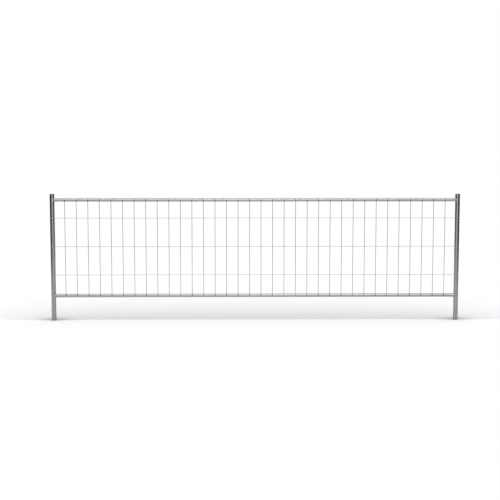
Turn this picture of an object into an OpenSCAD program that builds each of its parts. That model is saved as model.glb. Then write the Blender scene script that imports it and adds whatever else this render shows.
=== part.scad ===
// Crowd control barrier: a welded steel mesh panel on two tubular posts.
//
// Two plain tubes stand on the ground. A top rail and a bottom rail run between them, and
// the rail ends are saddle-cut to sit on the round of the posts. A mesh of thin round
// wires is welded to the front of this frame: the upright wires lie on the rails, and the
// cross wires lie over the uprights and over both posts. A plastic cap closes each post.
//
// X runs along the barrier, -Y is the front, which carries the mesh, and +Z is up.
// The origin is on the ground, at the middle of the barrier's length and depth.

/* [Posts] */
// Distance between the centre lines of the two posts
post_spacing = 3500; // [1200:10:4300]
// Height from the ground to the top of the caps
height = 1100; // [850:10:1500]
// Outside diameter of a post
post_d = 40; // [34:0.5:60]
// Wall thickness of a post
post_wall = 1.5; // [1:0.1:3]

/* [Rails] */
// Outside diameter of a rail
rail_d = 30; // [20:0.5:36]
// Wall thickness of a rail
rail_wall = 1.5; // [1:0.1:3]
// Height of the bottom rail's centre line above the ground
bottom_rail_z = 217; // [60:1:400]
// Depth of the top rail's centre line below the top of the caps
top_rail_drop = 52; // [45:1:150]

/* [Mesh] */
// Diameter of an upright wire
upright_wire_d = 4; // [2.5:0.1:6]
// Diameter of a cross wire
cross_wire_d = 3.5; // [2.5:0.1:6]
// Number of upright wires
upright_count = 34; // [4:1:45]
// Distance from a post's centre line to the nearest upright wire
edge_gap = 110; // [40:1:200]
// How far an upright wire runs past the centre line of each rail
upright_overhang = 6; // [3:0.5:14]
// Number of cross wires
cross_count = 3; // [2:1:5]
// Height of the lowest cross wire above the bottom rail's centre line
cross_low_gap = 183; // [60:1:240]
// Depth of the highest cross wire below the top rail's centre line
cross_top_gap = 156; // [60:1:240]
// How far a cross wire runs past the centre line of each post
cross_overhang = 14; // [3:0.5:18]

/* [Post caps] */
// Thickness of the cap's head, which covers the end of the tube
cap_head_t = 3.5; // [2:0.5:8]
// Radius that rounds the top edge of the head
cap_edge_r = 1.5; // [0.5:0.1:1.8]
// Length of the plug inside the tube
cap_plug_l = 20; // [12:1:35]
// Wall thickness of the hollow plug
cap_wall = 2; // [1:0.1:4]
// Number of grip ribs around the plug
cap_rib_count = 3; // [1:1:4]
// Width of a grip rib along the plug
cap_rib_w = 1.6; // [1:0.1:2.5]
// Height of a grip rib above the plug's wall
cap_rib_h = 0.8; // [0.4:0.1:1.5]
// Gap all round between the grip ribs and the inside of the tube
cap_clearance = 0.1; // [0.05:0.05:0.5]

/* [Hidden] */
$fn = 64;
// What a cutting shape runs past the solid it cuts
cut_extra = 1;

post_r = post_d / 2;
rail_r = rail_d / 2;

// The cross wires stand out in front of the posts, so this centres the whole depth
post_y = cross_wire_d / 2;
post_front_y = post_y - post_r;
cross_y = post_front_y - cross_wire_d / 2;
upright_y = post_front_y + upright_wire_d / 2;
rail_y = post_front_y + upright_wire_d + rail_r;

tube_top_z = height - cap_head_t;
top_rail_z = height - top_rail_drop;

upright_pitch = (post_spacing - 2 * edge_gap) / (upright_count - 1);
upright_bottom_z = bottom_rail_z - upright_overhang;
upright_l = top_rail_z + upright_overhang - upright_bottom_z;

cross_bottom_z = bottom_rail_z + cross_low_gap;
cross_pitch = (top_rail_z - cross_top_gap - cross_bottom_z) / (cross_count - 1);
cross_l = post_spacing + 2 * cross_overhang;

cap_rib_r = post_r - post_wall - cap_clearance;
cap_plug_r = cap_rib_r - cap_rib_h;
cap_rib_pitch = (cap_plug_l - cap_rib_w) / cap_rib_count;
cap_edge_steps = 6;

function two_digits(i) = str(i < 10 ? "0" : "", i);
function upright_name(i) = str("upright_wire_", two_digits(i));
function cross_name(i) = str("cross_wire_", i);

// A tube that stands on z = 0
module tube(d, wall, l) {
    difference() {
        cylinder(d = d, h = l);
        translate([0, 0, -cut_extra])
            cylinder(d = d - 2 * wall, h = l + 2 * cut_extra);
    }
}

// Turns what stands on z = 0 to lie along X, centred on the barrier's middle
module lay_along_x(l) {
    translate([-l / 2, 0, 0])
        rotate([0, 90, 0])
            children();
}

// side is -1 for the left post and 1 for the right post
module post(side) {
    color("lightgray")
        translate([side * post_spacing / 2, post_y, 0])
            tube(post_d, post_wall, tube_top_z);
}

// A rail from post to post, with both ends cut to the round of the posts
module rail(z) {
    color("lightgray")
        difference() {
            translate([0, rail_y, z])
                lay_along_x(post_spacing)
                    tube(rail_d, rail_wall, post_spacing);
            for (side = [-1, 1])
                translate([side * post_spacing / 2, post_y, z - rail_d])
                    cylinder(d = post_d, h = 2 * rail_d);
        }
}

// Half outline of a cap, which turns about its upright axis. z = 0 is the tube's end.
module cap_outline() {
    edge_centre = [post_r - cap_edge_r, cap_head_t - cap_edge_r];
    polygon(concat(
        [[0, 0], [post_r, 0]],
        [for (s = [0:cap_edge_steps])
            let (a = 90 * s / cap_edge_steps)
            edge_centre + cap_edge_r * [cos(a), sin(a)]],
        [[0, cap_head_t]]
    ));
    translate([cap_plug_r - cap_wall, -cap_plug_l])
        square([cap_wall, cap_plug_l + cap_head_t / 2]);
    for (i = [0:cap_rib_count - 1])
        translate([cap_plug_r - cap_wall / 2, -cap_plug_l + i * cap_rib_pitch])
            square([cap_wall / 2 + cap_rib_h, cap_rib_w]);
}

module post_cap(side) {
    color("gray")
        translate([side * post_spacing / 2, post_y, tube_top_z])
            rotate_extrude()
                cap_outline();
}

// The cross wires are counted from the bottom
module cross_wire(i) {
    color("silver")
        translate([0, cross_y, cross_bottom_z + (i - 1) * cross_pitch])
            lay_along_x(cross_l)
                cylinder(d = cross_wire_d, h = cross_l);
}

// The upright wires are counted from the left post
module upright_wire(i) {
    color("silver")
        translate([edge_gap - post_spacing / 2 + (i - 1) * upright_pitch, upright_y,
                   upright_bottom_z])
            cylinder(d = upright_wire_d, h = upright_l);
}

post(-1);  // post_left
post(1);  // post_right
rail(top_rail_z);  // top_rail
rail(bottom_rail_z);  // bottom_rail
post_cap(-1);  // post_cap_left
post_cap(1);  // post_cap_right
for (i = [1:cross_count])
    cross_wire(i);
for (i = [1:upright_count])
    upright_wire(i);
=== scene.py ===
import math

import bpy
import numpy as np
from mathutils import Euler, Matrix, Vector


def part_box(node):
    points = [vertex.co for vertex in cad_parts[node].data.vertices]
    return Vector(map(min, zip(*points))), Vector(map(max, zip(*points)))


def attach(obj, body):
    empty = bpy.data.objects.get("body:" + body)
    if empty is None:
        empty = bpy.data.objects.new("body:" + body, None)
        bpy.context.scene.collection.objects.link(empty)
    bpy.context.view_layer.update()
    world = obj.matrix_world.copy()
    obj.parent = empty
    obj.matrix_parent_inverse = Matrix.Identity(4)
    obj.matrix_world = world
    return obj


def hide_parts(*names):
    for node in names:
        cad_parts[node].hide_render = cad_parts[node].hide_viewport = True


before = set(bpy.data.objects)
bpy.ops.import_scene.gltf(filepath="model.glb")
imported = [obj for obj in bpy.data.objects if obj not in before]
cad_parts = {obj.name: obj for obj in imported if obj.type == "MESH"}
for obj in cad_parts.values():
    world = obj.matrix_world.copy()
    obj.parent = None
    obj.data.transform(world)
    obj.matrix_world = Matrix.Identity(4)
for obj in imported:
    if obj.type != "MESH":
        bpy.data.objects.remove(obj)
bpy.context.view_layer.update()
scene = bpy.context.scene
scene.view_settings.view_transform = "Standard"
mm = 0.001
print("frame loaded:", len(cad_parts), "nodes")

cameraView = {
    "side": -0.1525,      # metres from the barrier's middle, to its left
    "distance": 8.63,     # metres in front of the barrier
    "height": 1.416,
    "turnRight": 0.709,   # degrees
    "tiltDown": 5.316,
    "lens": 72.0,         # mm, on a sensor of the width below
    "sensor": 36.0,
    "seesTo": 200.0,      # metres
}


def makeCamera(view):
    data = bpy.data.cameras.new("camera")
    data.lens = view["lens"]
    data.sensor_width = view["sensor"]
    data.clip_end = view["seesTo"]
    camera = bpy.data.objects.new("camera", data)
    scene.collection.objects.link(camera)
    camera.location = (view["side"], -view["distance"], view["height"])
    camera.rotation_euler = Euler((math.radians(90 - view["tiltDown"]), 0,
                                   math.radians(-view["turnRight"])))
    scene.camera = camera


makeCamera(cameraView)
print("camera made")


def tubeFromBox(node, along):
    # centre, ends and radius of a straight tube or wire that lies along one axis
    low, high = (np.array(corner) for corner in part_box(node))
    across = [k for k in range(3) if k != along]
    radius = max(high[k] - low[k] for k in across) / 2
    return {"centre": (low + high) / 2, "low": low[along], "high": high[along], "radius": radius}


# sizes and places of the tubes and wires, all read from the frame
wireNames = sorted(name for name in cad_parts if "_wire_" in name)
posts = {side: tubeFromBox("post_" + side, 2) for side in ("left", "right")}
rails = {level: tubeFromBox(level + "_rail", 0) for level in ("top", "bottom")}
crossWires = {name: tubeFromBox(name, 0) for name in wireNames if name.startswith("cross")}
uprightWires = {name: tubeFromBox(name, 2) for name in wireNames if name.startswith("upright")}
postRadius = posts["left"]["radius"]
postY = posts["left"]["centre"][1]
railRadius = rails["top"]["radius"]
railY = rails["top"]["centre"][1]
meshPlaneY = postY - postRadius     # where the cross wires lie on the posts and the uprights
railFrontY = railY - railRadius     # where the uprights lie on the rails


def addPiece(name, points, faces, material, hardFrom, replaced=(), nearWeld=None):
    # makes an object from the arrays, on the barrier's one body. Edges that turn by more than
    # hardFrom degrees stay hard, and nearWeld is a share for each point that its material reads
    mesh = bpy.data.meshes.new(name)
    mesh.from_pydata(points.tolist(), [], faces)
    mesh.polygons.foreach_set("use_smooth", np.ones(len(mesh.polygons), bool))
    if nearWeld is not None:
        layer = mesh.attributes.new("nearWeld", "FLOAT", "POINT")
        layer.data.foreach_set("value", nearWeld.astype(np.float32))
    mesh.materials.append(material)
    mesh.update()
    mesh.set_sharp_from_angle(angle=math.radians(hardFrom))
    piece = bpy.data.objects.new(name, mesh)
    scene.collection.objects.link(piece)
    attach(piece, "root")
    if replaced:
        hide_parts(*replaced)


def gridFaces(rows, columns, closeRows, closeColumns):
    # quads between neighbours in a grid of points that is numbered row by row
    row = np.arange(rows if closeRows else rows - 1)
    column = np.arange(columns if closeColumns else columns - 1)
    row, column = np.meshgrid(row, column, indexing="ij")
    nextRow, nextColumn = (row + 1) % rows, (column + 1) % columns
    quads = np.stack([row * columns + column, row * columns + nextColumn,
                      nextRow * columns + nextColumn, nextRow * columns + column], axis=-1)
    return quads.reshape(-1, 4).tolist()


def poleFaces(pole, ringStart, sides, outward):
    # triangles from one pole point to each pair of neighbours in a ring of points
    around = np.arange(sides)
    faces = np.stack([np.full(sides, pole), ringStart + around, ringStart + (around + 1) % sides],
                     axis=-1)
    return (faces if outward else faces[:, ::-1]).tolist()


def roundAngles(sides):
    # equal steps once round a circle
    return np.arange(sides) * 2 * np.pi / sides


def arcPoints(centre, radius, fromTurn, toTurn, count):
    # an arc of an outline: centre + radius x (cosine, sine) of the turn, in degrees
    turn = np.radians(np.linspace(fromTurn, toTurn, count))
    return np.stack([centre[0] + radius * np.cos(turn), centre[1] + radius * np.sin(turn)], axis=-1)


def bell(offset, power=2):
    # 1 in the middle and falling off on both sides: e to the minus offset to an even power
    return np.exp(-offset ** power)


def turnedMesh(profile, sides, centre, closedProfile, ridge=None):
    # a profile of (radius, height) turned about the upright axis through centre. A closed
    # profile makes a ring, and an open one starts and ends on the axis, in one point each.
    # ridge adds its height at each angle to the points within 0.2 mm of the largest radius
    body = profile if closedProfile else profile[1:-1]
    angle = roundAngles(sides)
    radius = np.repeat(body[:, 0:1], sides, axis=1)
    if ridge is not None:
        outermost = radius > body[:, 0].max() - 0.2 * mm
        radius = radius + outermost * ridge
    ring = np.stack([radius * np.cos(angle), radius * np.sin(angle),
                     np.repeat(body[:, 1:2], sides, axis=1)], axis=-1).reshape(-1, 3)
    faces = gridFaces(len(body), sides, closedProfile, True)
    if not closedProfile:
        ring = np.vstack([ring, [[0, 0, profile[0, 1]], [0, 0, profile[-1, 1]]]])
        faces += poleFaces(len(ring) - 2, 0, sides, False)
        faces += poleFaces(len(ring) - 1, (len(body) - 1) * sides, sides, True)
    return ring + np.asarray(centre), faces


def rodMesh(path, radii, sides, along):
    # a round bar along X (0) or Z (2): a ring of radii[k] round each path[k], closed by poles
    angle = roundAngles(sides)
    first, second = (1, 2) if along == 0 else (0, 1)
    rings = np.repeat(path[:, None, :], sides, axis=1)
    rings[:, :, first] += radii[:, None] * np.cos(angle)
    rings[:, :, second] += radii[:, None] * np.sin(angle)
    points = np.vstack([rings.reshape(-1, 3), path[:1], path[-1:]])
    faces = gridFaces(len(path), sides, False, True)
    faces += poleFaces(len(points) - 2, 0, sides, False)
    faces += poleFaces(len(points) - 1, (len(path) - 1) * sides, sides, True)
    return points, faces


def beadMesh(centres, halfSizes, rings, sides):
    # a squashed ball at each centre: (a sin u cos v, b sin u sin v, c cos u), u from pole to pole
    u = np.pi * np.arange(1, rings + 1) / (rings + 1)
    v = roundAngles(sides)
    ball = np.stack([np.outer(np.sin(u), np.cos(v)), np.outer(np.sin(u), np.sin(v)),
                     np.repeat(np.cos(u)[:, None], sides, axis=1)], axis=-1).reshape(-1, 3)
    ball = np.vstack([ball, [[0, 0, 1], [0, 0, -1]]])
    quads = np.array(gridFaces(rings, sides, False, True))[:, ::-1]
    triangles = np.array(poleFaces(len(ball) - 2, 0, sides, True)
                         + poleFaces(len(ball) - 1, (rings - 1) * sides, sides, False))
    points = (centres[:, None, :] + ball[None] * halfSizes[:, None, :]).reshape(-1, 3)
    starts = len(ball) * np.arange(len(centres))[:, None, None]
    faces = [(shape[None] + starts).reshape(-1, shape.shape[1]).tolist() for shape in (quads, triangles)]
    return points, faces[0] + faces[1]


saddleSteps = 240     # points along the line of one weld round a rail's end


def saddleCurve(side, level):
    # the line where a rail's outside meets a post's outside: a circle on the rail's section,
    # set back from the post's centre line by the root of post radius squared less depth squared
    angle = roundAngles(saddleSteps)
    y = railY + railRadius * np.cos(angle)
    z = rails[level]["centre"][2] + railRadius * np.sin(angle)
    inward = -1 if side == "right" else 1
    x = posts[side]["centre"][0] + inward * np.sqrt(postRadius ** 2 - (y - postY) ** 2)
    return np.stack([x, y, z], axis=-1), angle


saddles = {(side, level): saddleCurve(side, level) for side in posts for level in rails}


def weldNearness(points, reach):
    # a bell of the distance to the nearest saddle weld, as a share of reach. Every sixth point
    # of a weld's line is near enough, and they are taken a few at a time to save memory
    curve = np.vstack([line[::6] for line, angle in saddles.values()])
    nearest = np.full(len(points), np.inf)
    for part in np.array_split(curve, 8):
        gaps = np.linalg.norm(points[:, None, :] - part[None], axis=2)
        nearest = np.minimum(nearest, gaps.min(axis=1))
    return bell(nearest / reach)


def turnFrom(angle, middle):
    # how far each angle lies from the middle one, the short way round
    return np.angle(np.exp(1j * (angle - middle)))


def sprayBand(turn, radius, look):
    # the band of sprayed zinc over a tube's seam: a bell of the fourth power, so flat-topped
    return look["sprayDullness"] * bell(turn * radius / (look["sprayHalfWidth"] * mm), 4)


print("sizes and weld lines worked out")


# what node groups and materials are built with

def feed(tree, node, inputs):
    # inputs go by their socket's name or number: a socket is linked and a plain value is set
    for key, value in inputs.items():
        if isinstance(value, bpy.types.NodeSocket):
            tree.links.new(value, node.inputs[key])
        else:
            node.inputs[key].default_value = value
    return node


def addNode(tree, kind, inputs, **settings):
    node = tree.nodes.new("ShaderNode" + kind)
    for key, value in settings.items():
        setattr(node, key, value)
    return feed(tree, node, inputs)


def calculate(tree, operation, first, second, **settings):
    return addNode(tree, "Math", {0: first, 1: second}, operation=operation, **settings).outputs[0]


def remap(tree, value, fromLow, fromHigh, toLow, toHigh):
    # a straight line from one range to another, which stops at both ends
    inputs = {"Value": value, "From Min": fromLow, "From Max": fromHigh, "To Min": toLow,
              "To Max": toHigh}
    return addNode(tree, "MapRange", inputs, clamp=True).outputs["Result"]


def mixColor(tree, share, first, second):
    return addNode(tree, "Mix", {0: share, 6: first, 7: second}, data_type="RGBA").outputs[2]


def weightedSum(tree, first, firstWeight, second, secondWeight):
    return calculate(tree, "ADD", calculate(tree, "MULTIPLY", first, firstWeight),
                     calculate(tree, "MULTIPLY", second, secondWeight))


def newGroup(name, inputs, outputs):
    # inputs are (name, kind, default), and outputs are names of plain numbers
    group = bpy.data.node_groups.new(name, "ShaderNodeTree")
    for label, kind, default in inputs:
        socket = group.interface.new_socket(label, in_out="INPUT", socket_type="NodeSocket" + kind)
        if default is not None:
            socket.default_value = default
    for label in outputs:
        group.interface.new_socket(label, in_out="OUTPUT", socket_type="NodeSocketFloat")
    return group, group.nodes.new("NodeGroupInput").outputs, group.nodes.new("NodeGroupOutput")


# effects that more than one material uses, each built once as a node group
spangleLook = {
    "wobbleScale": 60.0,     # noise per metre that makes the crystals' borders uneven
    "wobbleReach": 0.006,    # metres that it moves them
    "smallCells": 2.7,       # how many times finer the second, smaller cells are
    "shares": (0.65, 0.35),  # how much the large and the small cells count
    "edgeWidth": 0.08,       # share of a cell
}


def makeSpangle(look):
    # zinc crystals: each cell of a Voronoi pattern has its own tone, in two sizes of cell
    group, given, result = newGroup(
        "zincSpangle",
        [("Vector", "Vector", None), ("Cells Per Metre", "Float", 110.0), ("Warp", "Float", 0.3)],
        ["Tone", "Edge"])
    cellsPerMetre = given["Cells Per Metre"]
    wobble = addNode(group, "TexNoise",
                     {"Vector": given["Vector"], "Scale": look["wobbleScale"], "Detail": 2.0})
    moved = addNode(group, "VectorMath",
                    {0: wobble.outputs["Color"], 1: (look["wobbleReach"],) * 3, 2: given["Vector"]},
                    operation="MULTIPLY_ADD").outputs["Vector"]
    coords = addNode(group, "Mix", {"Factor": given["Warp"], 4: given["Vector"], 5: moved},
                     data_type="VECTOR").outputs[1]
    tones = []
    for scale in (cellsPerMetre, calculate(group, "MULTIPLY", cellsPerMetre, look["smallCells"])):
        cells = addNode(group, "TexVoronoi", {"Vector": coords, "Scale": scale}, feature="F1")
        tones.append(addNode(group, "SeparateColor", {"Color": cells.outputs["Color"]}).outputs[0])
    tone = weightedSum(group, tones[0], look["shares"][0], tones[1], look["shares"][1])
    border = addNode(group, "TexVoronoi", {"Vector": coords, "Scale": cellsPerMetre},
                     feature="DISTANCE_TO_EDGE").outputs["Distance"]
    feed(group, result, {"Tone": tone, "Edge": remap(group, border, 0.0, look["edgeWidth"], 1.0, 0.0)})
    return group


def makeDrawLines(patchSize):
    # long fine lines that drawing and rolling leave, which are noise stretched along the bar by
    # Stretch, and soft patches that are patchSize times as large as a line is wide
    group, given, result = newGroup(
        "drawLines",
        [("Vector", "Vector", None), ("Stretch", "Vector", (1.0, 1.0, 0.02)),
         ("Lines Per Metre", "Float", 900.0)],
        ["Lines", "Patches"])
    squeezed = addNode(group, "VectorMath", {0: given["Vector"], 1: given["Stretch"]},
                       operation="MULTIPLY").outputs["Vector"]
    lines = addNode(group, "TexNoise", {"Vector": squeezed, "Scale": given["Lines Per Metre"],
                                        "Detail": 3.0, "Roughness": 0.6})
    patchScale = calculate(group, "MULTIPLY", given["Lines Per Metre"], 1 / patchSize)
    patches = addNode(group, "TexNoise", {"Vector": given["Vector"], "Scale": patchScale,
                                          "Detail": 4.0, "Roughness": 0.55})
    feed(group, result, {"Lines": lines.outputs["Fac"], "Patches": patches.outputs["Fac"]})
    return group


lowDarkeningAndSpotsLook = {
    "cloudScale": 45.0,       # noise per metre that makes the darkening's upper edge ragged
    "cloudShare": 0.9,        # how much of the climb it moves that edge
    "lowDarkeningFades": (0.35, 1.35),
    "spotsStart": (0.60, 0.72),
}


def makeLowDarkeningAndSpots(look):
    # darkening that climbs from the ground and fades out at Climb, and dull spots all over
    group, given, result = newGroup(
        "lowDarkeningAndSpots",
        [("Vector", "Vector", None), ("Climb", "Float", 0.2), ("Spots Per Metre", "Float", 260.0)],
        ["Low Darkening", "Spots"])
    height = addNode(group, "SeparateXYZ", {"Vector": given["Vector"]}).outputs["Z"]
    climbed = calculate(group, "DIVIDE", height, given["Climb"])
    cloud = addNode(group, "TexNoise", {"Vector": given["Vector"], "Scale": look["cloudScale"],
                                        "Detail": 5.0, "Roughness": 0.65}).outputs["Fac"]
    ragged = calculate(group, "ADD", climbed, calculate(group, "MULTIPLY", cloud, look["cloudShare"]))
    speckle = addNode(group, "TexNoise", {"Vector": given["Vector"], "Scale": given["Spots Per Metre"],
                                          "Detail": 2.0}).outputs["Fac"]
    feed(group, result, {"Low Darkening": remap(group, ragged, *look["lowDarkeningFades"], 1.0, 0.0),
                         "Spots": remap(group, speckle, *look["spotsStart"], 0.0, 1.0)})
    return group


spangle = makeSpangle(spangleLook)
drawLines = makeDrawLines(patchSize=50)
lowDarkeningAndSpots = makeLowDarkeningAndSpots(lowDarkeningAndSpotsLook)
noiseRange = (0.3, 0.7)     # nearly all of a noise pattern's values lie between these
print("node groups made")


def newMaterial(name):
    # a material with a plain shader, and the socket that gives each point's own place
    material = bpy.data.materials.new(name)
    material.use_nodes = True
    tree = material.node_tree
    tree.nodes.clear()
    shader = tree.nodes.new("ShaderNodeBsdfPrincipled")
    output = tree.nodes.new("ShaderNodeOutputMaterial")
    tree.links.new(shader.outputs[0], output.inputs["Surface"])
    coords = tree.nodes.new("ShaderNodeTexCoord").outputs["Object"]
    return material, tree, shader, coords


def placeGroup(tree, group, inputs):
    node = tree.nodes.new("ShaderNodeGroup")
    node.node_tree = group
    return feed(tree, node, inputs).outputs


def addBump(tree, height, strength, depth):
    inputs = {"Strength": strength, "Distance": depth * mm, "Height": height}
    return addNode(tree, "Bump", inputs).outputs["Normal"]


# the zinc that all tubes and wires share, which each of them below changes a little
zincFinish = {
    "dark": (0.305, 0.305, 0.305, 1), "pale": (0.37, 0.37, 0.37, 1),    # the crystals' two tones
    "crystalShare": 0.55, "patchShare": 0.45,     # how much crystals and patches set the tone
    "scorched": (0.27, 0.27, 0.268, 1), "scorchFrom": 0.55,
    "lowDarkeningColor": (0.20, 0.195, 0.185, 1), "lowDarkening": 0.5,
    "spotColor": (0.60, 0.61, 0.61, 1), "spots": 0.12,
    "crystalsPerMetre": 130.0, "linesPerMetre": 900.0,
    "roughness": 0.27, "unevenness": 0.03,        # of the roughness, up and down
    "scorchRoughness": 0.2, "lowDarkeningRoughness": 0.3, "lowDarkeningDullness": 0.7,
    "bump": 0.14, "bumpDepth": 0.4,               # mm
    "lineHeight": 0.4, "crystalEdge": 0.06,       # shares of that depth
}
alongX, alongZ = (0.02, 1.0, 1.0), (1.0, 1.0, 0.02)     # stretches the draw lines that way


def makeZinc(name, stretch, look):
    # galvanised steel: crystals, draw lines and patches change its tone and gloss a little,
    # the nearWeld attribute dulls it, and it is made darker, rougher and less metallic near the ground
    material, tree, shader, coords = newMaterial(name)
    crystals = placeGroup(tree, spangle, {"Vector": coords, "Cells Per Metre": look["crystalsPerMetre"]})
    drawn = placeGroup(tree, drawLines, {"Vector": coords, "Stretch": stretch,
                                         "Lines Per Metre": look["linesPerMetre"]})
    dirt = placeGroup(tree, lowDarkeningAndSpots, {"Vector": coords})
    nearWeld = addNode(tree, "Attribute", {}, attribute_name="nearWeld").outputs["Fac"]

    tone = weightedSum(tree, crystals["Tone"], look["crystalShare"], drawn["Patches"], look["patchShare"])
    scorchPatches = remap(tree, drawn["Patches"], *noiseRange, look["scorchFrom"], 1.0)
    scorch = calculate(tree, "MULTIPLY", nearWeld, scorchPatches)
    # how much darker, rougher and less metallic it gets towards the ground
    lowDarkening = calculate(tree, "MULTIPLY", dirt["Low Darkening"], look["lowDarkening"])
    spots = calculate(tree, "MULTIPLY", dirt["Spots"], look["spots"])
    color = mixColor(tree, tone, look["dark"], look["pale"])
    for share, layer in ((scorch, "scorched"), (lowDarkening, "lowDarkeningColor"), (spots, "spotColor")):
        color = mixColor(tree, share, color, look[layer])

    uneven = look["unevenness"]
    rough = calculate(tree, "ADD", remap(tree, crystals["Tone"], 0.0, 1.0, uneven, -uneven),
                      remap(tree, drawn["Lines"], *noiseRange, -uneven, uneven))
    rough = calculate(tree, "ADD", rough, look["roughness"])
    rough = calculate(tree, "ADD", rough, calculate(tree, "MULTIPLY", scorch, look["scorchRoughness"]))
    rough = calculate(tree, "ADD", rough, calculate(tree, "MULTIPLY", lowDarkening, look["lowDarkeningRoughness"]),
                      use_clamp=True)
    metallic = 1.0
    if look["lowDarkening"] > 0:
        dulled = calculate(tree, "MULTIPLY", lowDarkening, look["lowDarkeningDullness"])
        metallic = calculate(tree, "SUBTRACT", 1.0, dulled)
    height = weightedSum(tree, drawn["Lines"], look["lineHeight"], crystals["Edge"], look["crystalEdge"])
    feed(tree, shader, {"Base Color": color, "Roughness": rough, "Metallic": metallic,
                        "Normal": addBump(tree, height, look["bump"], look["bumpDepth"])})
    return material


postLook = {
    "finish": zincFinish,
    "sides": 120,
    "hardFrom": 40,         # degrees
    "wall": 1.5,            # mm
    "lipRadius": 0.4,       # mm, where the saw cut has been rounded off
    "lipPoints": 4,
    "seamTurn": 62.0,       # degrees from straight back towards the barrier's outside
    "seamHalfWidth": 1.2,   # mm
    "seamRise": 0.2,        # mm
    "heatReach": 9.0,       # mm that a weld's dulled zone spreads
    "sprayHalfWidth": 3.5,  # mm, the band of sprayed zinc over the seam
    "sprayDullness": 0.85,  # as a share of a weld's
    "evenHeights": 27,      # rings of points at equal heights
    "weldHeights": (0, 4, 8, 12, 16, 20, 25, 32, 42, 60),     # mm over and under a weld, for more
    "closestRings": 2.0,    # mm
    "boreHeights": 9,
}
postZinc = makeZinc("galvanised post", alongZ, postLook["finish"])


def heightStations(low, high, look):
    # equal heights, with more of them above and below each rail's weld, to a tenth of a mm,
    # sorted and thinned
    steps = mm * np.array([-1, 1])[:, None] * np.array(look["weldHeights"])
    near = [rail["centre"][2] + steps.reshape(-1) for rail in rails.values()]
    even = np.linspace(low, high, look["evenHeights"])
    heights = np.unique(np.round(np.concatenate([*near, even]), 4))
    heights = heights[(heights > low) & (heights < high)]
    return heights[np.concatenate([[True], np.diff(heights) > look["closestRings"] * mm])]


def makePost(side, look):
    # a tube's section turned about the post's axis: up the outside, then down the bore. The
    # seam is a bell-shaped ridge all the way up
    post = posts[side]
    lip = look["lipRadius"] * mm
    low, high = post["low"], post["high"]
    outer = heightStations(low + 2 * lip, high - 2 * lip, look)
    inner = np.linspace(high, low, look["boreHeights"])
    profile = np.vstack([arcPoints((postRadius - lip, low + lip), lip, -90, 0, look["lipPoints"]),
                         np.stack([np.full(len(outer), postRadius), outer], axis=-1),
                         arcPoints((postRadius - lip, high - lip), lip, 0, 90, look["lipPoints"]),
                         np.stack([np.full(len(inner), postRadius - look["wall"] * mm), inner], axis=-1)])
    outward = -1 if side == "left" else 1
    seamAngle = math.radians(90 - outward * look["seamTurn"])
    off = turnFrom(roundAngles(look["sides"]), seamAngle) * postRadius / (look["seamHalfWidth"] * mm)
    points, faces = turnedMesh(profile, look["sides"], (*post["centre"][:2], 0), True,
                               look["seamRise"] * mm * bell(off))
    angle = np.arctan2(points[:, 1] - postY, points[:, 0] - post["centre"][0])
    dull = np.maximum(weldNearness(points, look["heatReach"] * mm),
                      sprayBand(turnFrom(angle, seamAngle), postRadius, look))
    addPiece("post." + side, points, faces, postZinc, look["hardFrom"],
             ["post_" + side], dull)


for side in posts:
    makePost(side, postLook)
print("posts made")

railLook = {
    "finish": {**zincFinish, "dark": (0.35, 0.35, 0.35, 1), "pale": (0.40, 0.40, 0.40, 1),
               "roughness": 0.33, "bump": 0.1},
    "sides": 80,
    "hardFrom": 40,         # degrees
    "wall": 1.5,            # mm
    "seamTurn": -40.0,      # degrees from straight back to the welded seam, which is underneath
    "seamHalfWidth": 1.1,   # mm
    "seamRise": 0.2,        # mm
    "heatReach": 8.0,       # mm
    "sprayHalfWidth": 3.0,  # mm
    "sprayDullness": 0.85,
    "evenRings": 30,        # rings of points in equal steps
    "evenFrom": 0.03,       # share of the length at which they start, and end at the other side
    "weldRings": (0, 2, 4, 7, 10, 14, 19, 26, 36, 50),     # mm from each end, for more
    "boreStep": 4,          # the bore has one ring for so many of the outside's
}
railZinc = makeZinc("galvanised rail", alongX, railLook["finish"])


def makeRail(level, look):
    # rings along the outside from left to right and back through the bore, where all ends are
    # set back from the posts' centre lines by the root of post radius squared less depth
    # squared. The seam is a bell-shaped ridge along the outside
    left, right = posts["left"]["centre"][0], posts["right"]["centre"][0]
    angle = roundAngles(look["sides"])
    near = np.array(look["weldRings"]) * mm / (right - left)
    even = np.linspace(look["evenFrom"], 1 - look["evenFrom"], look["evenRings"])
    outside = np.concatenate([near, even, 1 - near[::-1]])
    off = turnFrom(angle, math.radians(look["seamTurn"]))
    ridge = look["seamRise"] * mm * bell(off * railRadius / (look["seamHalfWidth"] * mm))
    bore = outside[::-look["boreStep"]]
    grids = []
    for radius, rise, shares in ((railRadius, ridge, outside),
                                 (railRadius - look["wall"] * mm, 0 * ridge, bore)):
        setBack = np.sqrt(postRadius ** 2 - (railY + radius * np.cos(angle) - postY) ** 2)
        x = left + setBack + (right - left - 2 * setBack) * shares[:, None]
        y = np.broadcast_to(railY + (radius + rise) * np.cos(angle), x.shape)
        z = np.broadcast_to(rails[level]["centre"][2] + (radius + rise) * np.sin(angle), x.shape)
        grids.append(np.stack([x, y, z], axis=-1))
    grid = np.vstack(grids)
    points = grid.reshape(-1, 3)
    faces = gridFaces(len(grid), look["sides"], True, True)
    dull = np.maximum(weldNearness(points, look["heatReach"] * mm),
                      np.tile(sprayBand(off, railRadius, look), len(grid)))
    addPiece("rail." + level, points, faces, railZinc, look["hardFrom"],
             [level + "_rail"], dull)


for level in rails:
    makeRail(level, railLook)
print("rails made")

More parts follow.
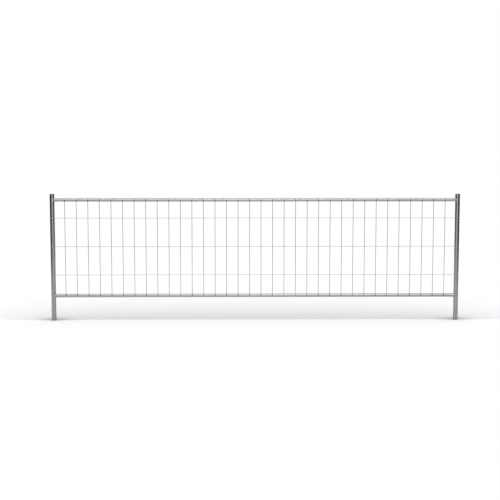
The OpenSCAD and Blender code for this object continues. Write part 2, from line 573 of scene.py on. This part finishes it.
wireFinish = {**zincFinish, "crystalsPerMetre": 420.0, "linesPerMetre": 2600.0, "roughness": 0.36,
              "lowDarkening": 0.0, "spots": 0.1}
wireLook = {
    # the uprights' zinc is painted darker than the cross wires' and the tubes': painted shade, for the
    # less light from above that they catch
    "uprightShadedFinish": {**wireFinish, "dark": (0.13, 0.13, 0.13, 1), "pale": (0.19, 0.19, 0.19, 1)},
    "crossFinish": {**wireFinish, "dark": (0.28, 0.28, 0.28, 1), "pale": (0.36, 0.36, 0.36, 1)},
    "sides": 16,
    "hardFrom": 35,         # degrees
    "bow": 0.25,            # mm that a wire strays from a straight line
    "waveFades": (1.0, 1.6, 2.4),     # how many times weaker its slow waves are than the first
    "step": 34.0,           # mm between rings
    "endBevel": 0.45,       # mm, the burr-free edge of a sheared end
    "uprightSeed": 100,
    "crossSeed": 500,
}
uprightShadedZinc = makeZinc("galvanised upright wire with painted shade", alongZ, wireLook["uprightShadedFinish"])
crossZinc = makeZinc("galvanised cross wire", alongX, wireLook["crossFinish"])


def makeWire(name, wire, along, strayAxis, material, seed, look):
    # a bar whose centre strays by a few slow sine waves, which are zero at both ends
    drawn = np.random.default_rng(seed)
    bevel = look["endBevel"] * mm
    span = wire["high"] - wire["low"]
    rings = round(span / (look["step"] * mm))
    share = np.concatenate([[0], bevel / span + (1 - 2 * bevel / span) * np.linspace(0, 1, rings), [1]])
    path = np.repeat(wire["centre"][None], len(share), axis=0)
    path[:, along] = wire["low"] + span * share
    waves = drawn.normal(size=len(look["waveFades"])) / np.array(look["waveFades"])
    bend = sum(wave * np.sin(np.pi * (k + 1) * share) for k, wave in enumerate(waves))
    path[:, strayAxis] += look["bow"] * mm * bend / np.abs(bend).max()
    radii = np.full(len(share), wire["radius"])
    radii[[0, -1]] -= bevel
    points, faces = rodMesh(path, radii, look["sides"], along)
    addPiece(name.replace("_wire_", "."), points, faces, material,
             look["hardFrom"], [name])


for number, (name, wire) in enumerate(uprightWires.items()):
    makeWire(name, wire, 2, 0, uprightShadedZinc, wireLook["uprightSeed"] + number, wireLook)
for number, (name, wire) in enumerate(crossWires.items()):
    makeWire(name, wire, 0, 2, crossZinc, wireLook["crossSeed"] + number, wireLook)
print("wires made:", len(uprightWires) + len(crossWires))

weldFinish = {
    "dark": (0.26, 0.26, 0.255, 1), "pale": (0.44, 0.44, 0.435, 1),
    "rust": (0.16, 0.13, 0.10, 1), "rustShare": 0.5,
    "grainPerMetre": 1500.0, "spotsPerMetre": 700.0,
    "roughness": (0.42, 0.62), "metallic": 0.8,
    "bump": 0.5, "bumpDepth": 0.3,      # mm
}
evenly = (1.0, 1.0, 1.0)     # no stretch, so that draw lines become an even grain


def makeWeldMetal(look):
    # a weld bead with zinc paint over it: dull, mottled, with a fine grain and rust in spots
    material, tree, shader, coords = newMaterial("zinc painted weld")
    grain = placeGroup(tree, drawLines, {"Vector": coords, "Stretch": evenly,
                                         "Lines Per Metre": look["grainPerMetre"]})
    dirt = placeGroup(tree, lowDarkeningAndSpots, {"Vector": coords, "Spots Per Metre": look["spotsPerMetre"]})
    rust = calculate(tree, "MULTIPLY", dirt["Spots"], look["rustShare"])
    paint = mixColor(tree, grain["Patches"], look["dark"], look["pale"])
    color = mixColor(tree, rust, paint, look["rust"])
    feed(tree, shader, {"Base Color": color, "Metallic": look["metallic"],
                        "Roughness": remap(tree, grain["Lines"], *noiseRange, *look["roughness"]),
                        "Normal": addBump(tree, grain["Lines"], look["bump"], look["bumpDepth"])})
    return material


weldMetal = makeWeldMetal(weldFinish)

beadLook = {
    "radius": 2.7,           # mm
    "sides": 12,
    "hardFrom": 60,          # degrees
    "ripple": 0.28,          # mm
    "rippleShape": 0.6,      # under 1 broadens the ripples' backs
    "pitch": 2.4,            # mm from one ripple to the next
    "wander": 0.2,           # mm, where its slow waves add up to the height below
    "wanderHeight": 3.0,
    "wanderWaves": 5,
    "wanderStarts": 6.3,     # radians, over which the waves' starts are drawn
    "seeds": {("left", "top"): 61, ("left", "bottom"): 48, ("right", "top"): 54, ("right", "bottom"): 41},
}


def makeBead(side, level, look):
    # a round section swept along the saddle curve: its radius swells once for each ripple, by
    # a power of the sine of the length walked, and wanders with a few slow waves
    path, angle = saddles[side, level]
    along = np.roll(path, -1, axis=0) - np.roll(path, 1, axis=0)
    along /= np.linalg.norm(along, axis=1, keepdims=True)
    railOut = np.stack([0 * angle, np.cos(angle), np.sin(angle)], axis=-1)
    up = railOut - along * np.sum(railOut * along, axis=1, keepdims=True)
    up /= np.linalg.norm(up, axis=1, keepdims=True)
    across = np.cross(along, up)
    walked = np.cumsum(np.linalg.norm(np.diff(path, axis=0, append=path[:1]), axis=1))
    ripples = round(walked[-1] / (look["pitch"] * mm))
    swell = np.abs(np.sin(np.pi * ripples * walked / walked[-1])) ** look["rippleShape"]
    drawn = np.random.default_rng(look["seeds"][side, level])
    slow = sum(drawn.normal() * np.sin((k + 1) * angle + drawn.uniform(0, look["wanderStarts"]))
               for k in range(look["wanderWaves"]))
    wander = look["wander"] * slow / look["wanderHeight"]
    radius = (look["radius"] + look["ripple"] * swell + wander) * mm
    turn = roundAngles(look["sides"])[None, :, None]
    section = up[:, None] * np.cos(turn) + across[:, None] * np.sin(turn)
    points = path[:, None] + radius[:, None, None] * section
    faces = gridFaces(len(path), look["sides"], True, True)
    addPiece(f"railWeld.{level}.{side}", points.reshape(-1, 3), faces, weldMetal,
             look["hardFrom"])


for side, level in saddles:
    makeBead(side, level, beadLook)

# the metal squeezed out where wires cross or lie on a tube, with half sizes in mm
spotLook = {
    "crossing": {"halfSizes": (3.1, 1.3, 2.9), "seed": 21},
    "onRail": {"halfSizes": (3.0, 1.2, 4.6), "seed": 22},
    "onPost": {"halfSizes": (4.8, 1.2, 2.8), "seed": 23},
    "unevenness": 0.12,     # share by which each one differs
    "rings": 4,
    "sides": 8,
    "hardFrom": 80,         # degrees
}


def makeSpots(name, centres, kind, look):
    # squashed balls, each a little different, at the places where two bars touch
    drawn = np.random.default_rng(look[kind]["seed"]).uniform(-1, 1, (len(centres), 3))
    halfSizes = np.array(look[kind]["halfSizes"]) * mm * (1 + look["unevenness"] * drawn)
    points, faces = beadMesh(np.array(centres), halfSizes, look["rings"], look["sides"])
    addPiece(name, points, faces, weldMetal, look["hardFrom"])


uprightX = [wire["centre"][0] for wire in uprightWires.values()]
crossZ = [wire["centre"][2] for wire in crossWires.values()]
crossings = [(x, meshPlaneY, z) for z in crossZ for x in uprightX]
railTouches = [(x, railFrontY, rail["centre"][2]) for rail in rails.values() for x in uprightX]
postTouches = [(post["centre"][0], meshPlaneY, z) for post in posts.values() for z in crossZ]
makeSpots("meshWelds", crossings, "crossing", spotLook)
makeSpots("railSpotWelds", railTouches, "onRail", spotLook)
makeSpots("postSpotWelds", postTouches, "onPost", spotLook)
print("welds made")

capLook = {
    "finish": {
        "dark": (0.16, 0.163, 0.168, 1), "chalky": (0.21, 0.213, 0.216, 1),
        "chalkyRange": (0.35, 0.65),      # of the patches' noise, from dark to chalky
        "dirt": (0.30, 0.30, 0.29, 1), "dirtShare": 0.25,
        "grainPerMetre": 4200.0, "spotsPerMetre": 500.0,
        "roughness": (0.48, 0.62), "bump": 0.3, "bumpDepth": 0.1,
    },
    "sides": 96,
    "hardFrom": 50,         # degrees; all lengths from here on are in mm
    "headHeight": 3.5,
    "rimBevel": 0.3,        # under the head's rim
    "edgeRadius": 1.5,      # over it
    "edgeTurn": 80.0,       # degrees of that round
    "edgePoints": 7,
    "crown": 0.5,           # the top's rise in the middle
    "grooveRadius": 14.2,   # a ring sunk in the top
    "grooveWidth": 0.9,
    "grooveDepth": 0.35,
    "topStart": 1.0,        # in from that round's centre
    "topRings": 30,
    "gateRadius": 2.1,      # the moulding gate's round dimple in the middle of the top
    "gateSlope": 1.2,
    "gateDepth": 0.35,
    "gateRings": 4,
    "plugLength": 20.0,
    "plugRadius": 17.6,
    "plugWall": 2.0,
    "ribs": 3,
    "ribHeight": 0.8,
    "ribWidth": 1.6,
    "ribLead": 0.5,         # slope that lets a rib slide in
    "ribBack": 0.4,         # steeper slope that holds it
    "hair": 0.02,           # keeps neighbouring points of the outline apart
}


def makeCapPlastic(look):
    # moulded grey plastic: a fine spark-eroded grain, chalky patches from sun, a little dirt
    material, tree, shader, coords = newMaterial("cap plastic")
    grain = placeGroup(tree, drawLines, {"Vector": coords, "Stretch": evenly,
                                         "Lines Per Metre": look["grainPerMetre"]})
    specks = placeGroup(tree, lowDarkeningAndSpots, {"Vector": coords, "Spots Per Metre": look["spotsPerMetre"]})
    chalk = remap(tree, grain["Patches"], *look["chalkyRange"], 0.0, 1.0)
    dirt = calculate(tree, "MULTIPLY", specks["Spots"], look["dirtShare"])
    color = mixColor(tree, dirt, mixColor(tree, chalk, look["dark"], look["chalky"]), look["dirt"])
    feed(tree, shader, {"Base Color": color,
                        "Roughness": remap(tree, grain["Patches"], *noiseRange, *look["roughness"]),
                        "Normal": addBump(tree, grain["Lines"], look["bump"], look["bumpDepth"])})
    return material


capPlastic = makeCapPlastic(capLook["finish"])


def makeCap(side, look):
    # one outline turned about the post's axis: from the axis under the head, down and up again
    # round the ribbed plug, round the head's rim, and over the top to the gate. The top drops
    # with the square of the radius, its groove is a flat-topped bell, and the gate's dimple
    # goes down by half a cosine wave
    post = posts[side]
    rim = postRadius / mm
    head, edge, bevel, hair = (look[key] for key in ("headHeight", "edgeRadius", "rimBevel", "hair"))
    plug, length, width = (look[key] for key in ("plugRadius", "plugLength", "ribWidth"))
    inner, ribTop = plug - look["plugWall"], plug + look["ribHeight"]
    underside = [(0, 0), (inner, 0), (inner, -length), (plug, -length)]
    rib = np.array([(plug + hair / 2, hair), (ribTop, look["ribLead"]), (ribTop, width - look["ribBack"]),
                    (plug, width)])
    ribLow = np.arange(look["ribs"]) * (length - width) / look["ribs"] - length
    ribs = (rib + np.stack([0 * ribLow, ribLow], axis=-1)[:, None]).reshape(-1, 2)
    neck = [(plug, -hair), (rim - bevel, 0), (rim, bevel)]
    shoulder = arcPoints((rim - edge, head - look["crown"] - edge), edge, 0, look["edgeTurn"],
                         look["edgePoints"])
    radius = np.linspace(rim - edge - look["topStart"], look["gateRadius"], look["topRings"])
    groove = look["grooveDepth"] * bell((radius - look["grooveRadius"]) / look["grooveWidth"], 4)
    top = np.stack([radius, head - look["crown"] * (radius / rim) ** 2 - groove], axis=-1)
    share = np.arange(1, look["gateRings"] + 1) / look["gateRings"]
    dimple = np.stack([look["gateRadius"] - share * look["gateSlope"],
                       head - look["gateDepth"] * (1 - np.cos(np.pi * share)) / 2], axis=-1)
    outline = np.vstack([underside, ribs, neck, shoulder, top, dimple, [(0, head - look["gateDepth"])]])
    points, faces = turnedMesh(outline * mm + [0, post["high"]], look["sides"],
                               (*post["centre"][:2], 0), False)
    addPiece("postCap." + side, points, faces, capPlastic, look["hardFrom"],
             ["post_cap_" + side])


for side in posts:
    makeCap(side, capLook)
print("caps made")

floorLook = {
    "reach": 7.0,          # metres that the floor spreads from the barrier
    "fades": (3.2, 6.8),   # metres from its middle, between which it melts into the white behind
    "tone": 0.86,
    "mottle": 0.01,        # share of the tone, up and down
    "mottleScale": 3.0,
    "roughness": 0.8,
    "gloss": 0.0,          # none, so that no box of light shines back from it
}


def makeFloor(look):
    reach = look["reach"]
    mesh = bpy.data.meshes.new("floor")
    mesh.from_pydata([(-reach, -reach, 0), (reach, -reach, 0), (reach, reach, 0), (-reach, reach, 0)],
                     [], [(0, 1, 2, 3)])
    material, tree, shader, coords = newMaterial("pale floor")
    mottle = addNode(tree, "TexNoise", {"Vector": coords, "Scale": look["mottleScale"], "Detail": 4.0})
    low, high = look["tone"] * (1 - look["mottle"]), look["tone"] * (1 + look["mottle"])
    color = mixColor(tree, mottle.outputs["Fac"], (low, low, low, 1), (high, high, high, 1))
    distance = addNode(tree, "VectorMath", {0: coords}, operation="LENGTH").outputs["Value"]
    feed(tree, shader, {"Base Color": color, "Roughness": look["roughness"],
                        "Specular IOR Level": look["gloss"],
                        "Alpha": remap(tree, distance, *look["fades"], 1.0, 0.0)})
    mesh.materials.append(material)
    floor = bpy.data.objects.new("floor", mesh)
    scene.collection.objects.link(floor)


makeFloor(floorLook)

# thin screens that only the floor's light meets: one stands in the barrier's middle plane and
# holds back light that reaches the floor behind it from the front, and a small one lies over
# the floor behind each foot
panelScreen = {"fadeFrom": 1.72, "halfWidth": 2.45, "bottom": 0.03, "top": 1.03, "opacity": 0.63}
footScreen = {"radius": 0.25, "height": 0.02, "opacity": 0.8, "falloff": 2.0}


def makeScreen(name, corners):
    mesh = bpy.data.meshes.new(name)
    mesh.from_pydata(corners, [], [(0, 1, 2, 3)])
    material, tree, shader, coords = newMaterial(name)
    shader.inputs["Base Color"].default_value = (0, 0, 0, 1)
    mesh.materials.append(material)
    screen = bpy.data.objects.new(name, mesh)
    scene.collection.objects.link(screen)
    screen.visible_camera = False
    screen.visible_glossy = False
    return tree, shader, coords


def makePanelScreen(look):
    # it holds back only what comes from the front, and fades out towards its ends
    end, low, high = look["halfWidth"], look["bottom"], look["top"]
    tree, shader, coords = makeScreen("panelScreen",
                                      [(-end, 0, low), (end, 0, low), (end, 0, high), (-end, 0, high)])
    fromBehind = tree.nodes.new("ShaderNodeNewGeometry").outputs["Backfacing"]
    sideways = addNode(tree, "SeparateXYZ", {"Vector": coords}).outputs["X"]
    fade = remap(tree, calculate(tree, "ABSOLUTE", sideways, 0.0), look["fadeFrom"], end,
                 look["opacity"], 0.0)
    feed(tree, shader, {"Alpha": calculate(tree, "MULTIPLY", fromBehind, fade)})


def makeFootScreen(name, centre, look):
    # opacity x (1 - distance from the foot / radius) ^ falloff
    x, y = centre[:2]
    reach, z = look["radius"], look["height"]
    tree, shader, coords = makeScreen(name, [(x - reach, y, z), (x + reach, y, z),
                                             (x + reach, y + reach, z), (x - reach, y + reach, z)])
    distance = addNode(tree, "VectorMath", {0: coords, 1: (x, y, z)},
                       operation="DISTANCE").outputs["Value"]
    share = calculate(tree, "POWER", remap(tree, distance, 0.0, reach, 1.0, 0.0), look["falloff"])
    feed(tree, shader, {"Alpha": calculate(tree, "MULTIPLY", share, look["opacity"])})


makePanelScreen(panelScreen)
for side, post in posts.items():
    makeFootScreen(side + "FootScreen", post["centre"], footScreen)
print("floor and screens made")

# the surroundings are what glossy steel reflects where it meets no light, and what is behind
# is what the camera sees past the floor
worldLook = {"surroundings": 0.04, "behind": 1.0}
skyStrength = 3.64     # even light from the whole sky, which reaches only dull surfaces

# boxes of light that only glossy surfaces meet: places and sizes in metres, even radiance
softboxes = {
    "front": {"at": (0.0, -7.0, 1.6), "aim": (0.0, 0.0, 1.6), "size": (6.0, 3.0), "radiance": 1.32},
    "near": {"at": (0.0, -3.0, 1.3), "aim": (0.0, 0.0, 1.3), "size": (1.2, 2.4), "radiance": 0.6},
    "overhead": {"at": (0.0, -3.0, 3.6), "aim": (0.0, -3.0, 0.0), "size": (8.0, 2.0), "radiance": 4.2},
    "rear": {"at": (0.0, 6.5, 1.6), "aim": (0.0, 0.0, 1.6), "size": (5.0, 2.4), "radiance": 1.1},
    "rearTop": {"at": (0.0, 3.2, 3.6), "aim": (0.0, 3.2, 0.0), "size": (8.0, 2.4), "radiance": 1.6},
    "top": {"at": (0.0, -0.6, 3.6), "aim": (0.0, -0.6, 0.0), "size": (8.0, 2.8), "radiance": 1.6},
}


def makeWorld(look):
    world = bpy.data.worlds.new("studio")
    world.use_nodes = True
    scene.world = world
    tree = world.node_tree
    tree.nodes.clear()
    cameraRay = tree.nodes.new("ShaderNodeLightPath").outputs["Is Camera Ray"]
    dim, seen = (addNode(tree, "Background", {"Color": (1, 1, 1, 1), "Strength": look[key]}).outputs[0]
                 for key in ("surroundings", "behind"))
    mix = addNode(tree, "MixShader", {0: cameraRay, 1: dim, 2: seen})
    addNode(tree, "OutputWorld", {"Surface": mix.outputs[0]})


def makeSky(strength):
    # soft light from every direction above the floor, with no reflection of its own
    light = bpy.data.lights.new("sky", "SUN")
    light.energy = strength
    light.angle = math.pi
    sky = bpy.data.objects.new("sky", light)
    scene.collection.objects.link(sky)
    sky.visible_glossy = False


def makeSoftbox(name, look):
    # a rectangle of even radiance, whose power is pi x area x radiance
    width, height = look["size"]
    light = bpy.data.lights.new(name, "AREA")
    light.shape = "RECTANGLE"
    light.size = width
    light.size_y = height
    light.energy = math.pi * width * height * look["radiance"]
    box = bpy.data.objects.new(name, light)
    scene.collection.objects.link(box)
    box.location = look["at"]
    toward = Vector(look["aim"]) - Vector(look["at"])
    box.rotation_euler = toward.to_track_quat("-Z", "Y").to_euler()
    box.visible_camera = False
    box.visible_diffuse = False


makeWorld(worldLook)
makeSky(skyStrength)
for name, look in softboxes.items():
    makeSoftbox(name, look)
print("world and lights made")
